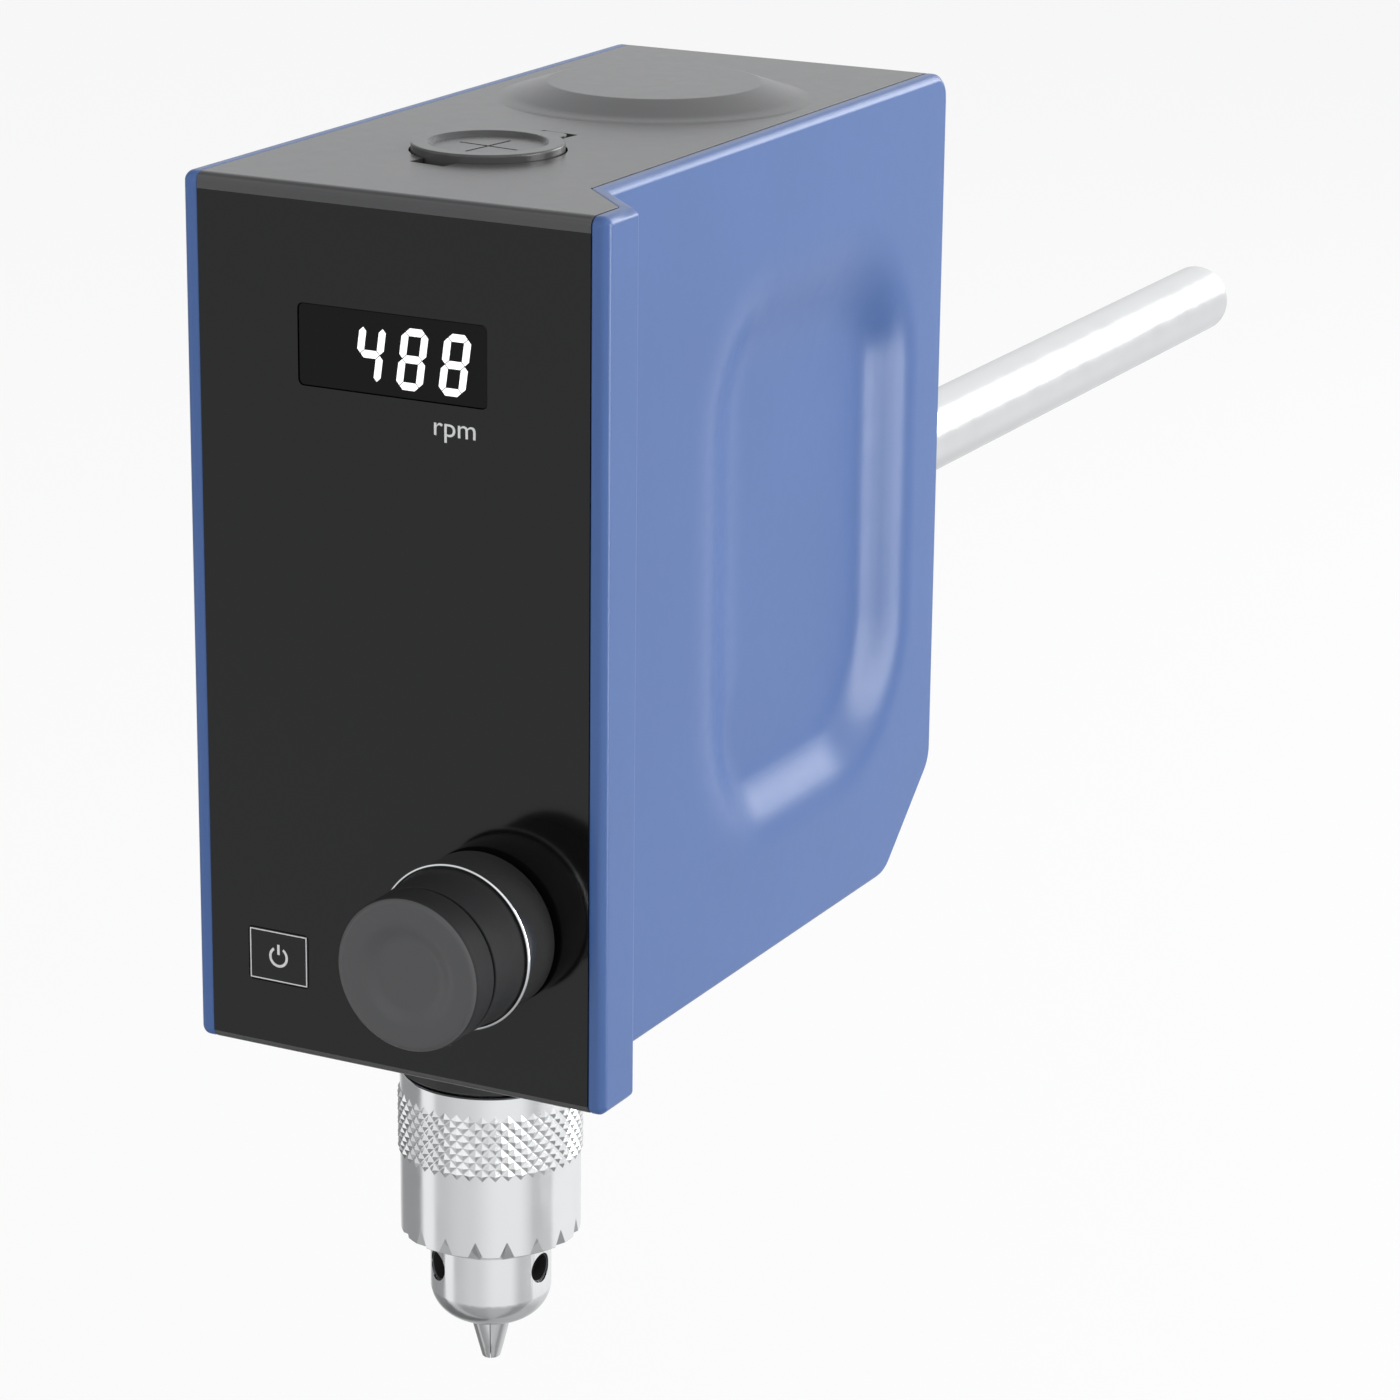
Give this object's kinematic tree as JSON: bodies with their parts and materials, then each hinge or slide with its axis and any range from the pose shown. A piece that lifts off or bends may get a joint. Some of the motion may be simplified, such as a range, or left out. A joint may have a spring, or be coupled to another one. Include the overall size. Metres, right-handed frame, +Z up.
{
  "type": "overhead stirrer",
  "caption": "Slim laboratory overhead stirrer held by a round arm, with a keyed chuck on a hollow spindle, a display, a press-and-turn knob and a power key.",
  "frame": {"origin": "on the spindle axis, at the tip of the closed jaws", "axes": "+Z up the spindle axis, the front panel faces -Y, the extension arm leaves the back along +Y, +X to the right seen from the front"},
  "size_m": [0.0678, 0.3411, 0.1912],
  "materials": {
    "casing_blue": "fine textured lacquer",
    "cover_grey": "fine textured",
    "film_black": "satin film",
    "window_smoke": "smoked and polished",
    "knob_grey": "soft satin",
    "knob_black": "polished",
    "chrome_trim": "polished",
    "chuck_steel": "ground and plated",
    "arm_steel": "drawn and polished",
    "nose_dark": "black anodised",
    "frame_metal": "as cast",
    "motor_metal": "painted can",
    "bearing_steel": "ground",
    "seal_rubber": "matt",
    "belt_rubber": "matt",
    "board_green": "solder mask",
    "module_dark": "satin",
    "part_black": "satin",
    "screw_steel": "zinc plated"
  },
  "bodies": {
    "housing": {"right_side_shell": "casing_blue", "left_side_shell": "casing_blue", "top_cover": "cover_grey", "rear_cover": "cover_grey", "base_cover": "cover_grey", "front_frame": "cover_grey", "front_film": "film_black", "display_window": "window_smoke", "display_module": "module_dark", "control_board": "board_green", "board_screws": "screw_steel", "key_switch": "part_black", "encoder_body": "part_black", "base_plate": "nose_dark", "spindle_column": "frame_metal", "column_screws": "screw_steel", "motor_plate": "frame_metal", "motor_screws": "screw_steel", "motor_body": "motor_metal", "rear_frame": "frame_metal", "lower_bearing": "bearing_steel", "upper_bearing": "bearing_steel", "shaft_seal": "seal_rubber", "drive_belt": "belt_rubber", "extension_arm": "arm_steel", "arm_set_screw": "screw_steel", "power_socket": "part_black", "rear_screws": "screw_steel", "base_screws": "screw_steel"},
    "spindle": {"hollow_spindle": "bearing_steel", "driven_pulley": "frame_metal", "spindle_clip": "screw_steel", "chuck_body": "chuck_steel"},
    "rotor": {"motor_shaft": "bearing_steel", "motor_magnet": "bearing_steel", "drive_pulley": "frame_metal"},
    "sleeve": {"chuck_sleeve": "chuck_steel", "split_nut": "bearing_steel"},
    "jaw_1": {"chuck_jaw_1": "chuck_steel"},
    "jaw_2": {"chuck_jaw_2": "chuck_steel"},
    "jaw_3": {"chuck_jaw_3": "chuck_steel"},
    "encoder_disc": {"encoder_rotor": "part_black"},
    "knob": {"encoder_shaft": "bearing_steel", "knob_skirt": "knob_black", "knob_ring": "chrome_trim", "knob_grip": "knob_grey", "knob_cap": "knob_grey"},
    "key": {"power_key": "film_black"},
    "cap": {"shaft_cap": "cover_grey"}
  },
  "joints": [
    {"name": "spindle_spin", "type": "hinge", "parent": "housing", "child": "spindle", "pos_m": [0, 0, 0], "axis": [0, 0, 1], "continuous": true},
    {"name": "motor_spin", "type": "hinge", "parent": "housing", "child": "rotor", "pos_m": [0, 0.0508, 0], "axis": [0, 0, 1], "continuous": true},
    {"name": "sleeve_turn", "type": "hinge", "parent": "spindle", "child": "sleeve", "pos_m": [0, 0, 0], "axis": [0, 0, 1], "range_deg": [0, 5080]},
    {"name": "jaw_1_slide", "type": "slide", "parent": "spindle", "child": "jaw_1", "axis": [-0.1494, -0.2216, 0.9636], "range_m": [0, 0.01497]},
    {"name": "jaw_2_slide", "type": "slide", "parent": "spindle", "child": "jaw_2", "axis": [0.2666, -0.0186, 0.9636], "range_m": [0, 0.01497]},
    {"name": "jaw_3_slide", "type": "slide", "parent": "spindle", "child": "jaw_3", "axis": [-0.1171, 0.2402, 0.9636], "range_m": [0, 0.01497]},
    {"name": "knob_turn", "type": "hinge", "parent": "housing", "child": "encoder_disc", "pos_m": [0.0196, -0.0354, 0.0849], "axis": [0, -1, 0], "continuous": true},
    {"name": "knob_press", "type": "slide", "parent": "encoder_disc", "child": "knob", "axis": [0, 1, 0], "range_m": [0, 0.0006], "stiffness_N_per_m": 3000},
    {"name": "power_key_press", "type": "slide", "parent": "housing", "child": "key", "axis": [0, 1, 0], "range_m": [0, 0.0004], "stiffness_N_per_m": 2500},
    {"name": "shaft_cap_lift", "type": "slide", "parent": "housing", "child": "cap", "axis": [0, 0, 1], "range_m": [0, 0.03]}
  ],
  "couplings": [
    {"joint": "motor_spin", "follows": "spindle_spin", "ratio": 2},
    {"joint": "jaw_1_slide", "follows": "sleeve_turn", "m_per_rad": 0.0001687},
    {"joint": "jaw_2_slide", "follows": "sleeve_turn", "m_per_rad": 0.0001687},
    {"joint": "jaw_3_slide", "follows": "sleeve_turn", "m_per_rad": 0.0001687}
  ]
}
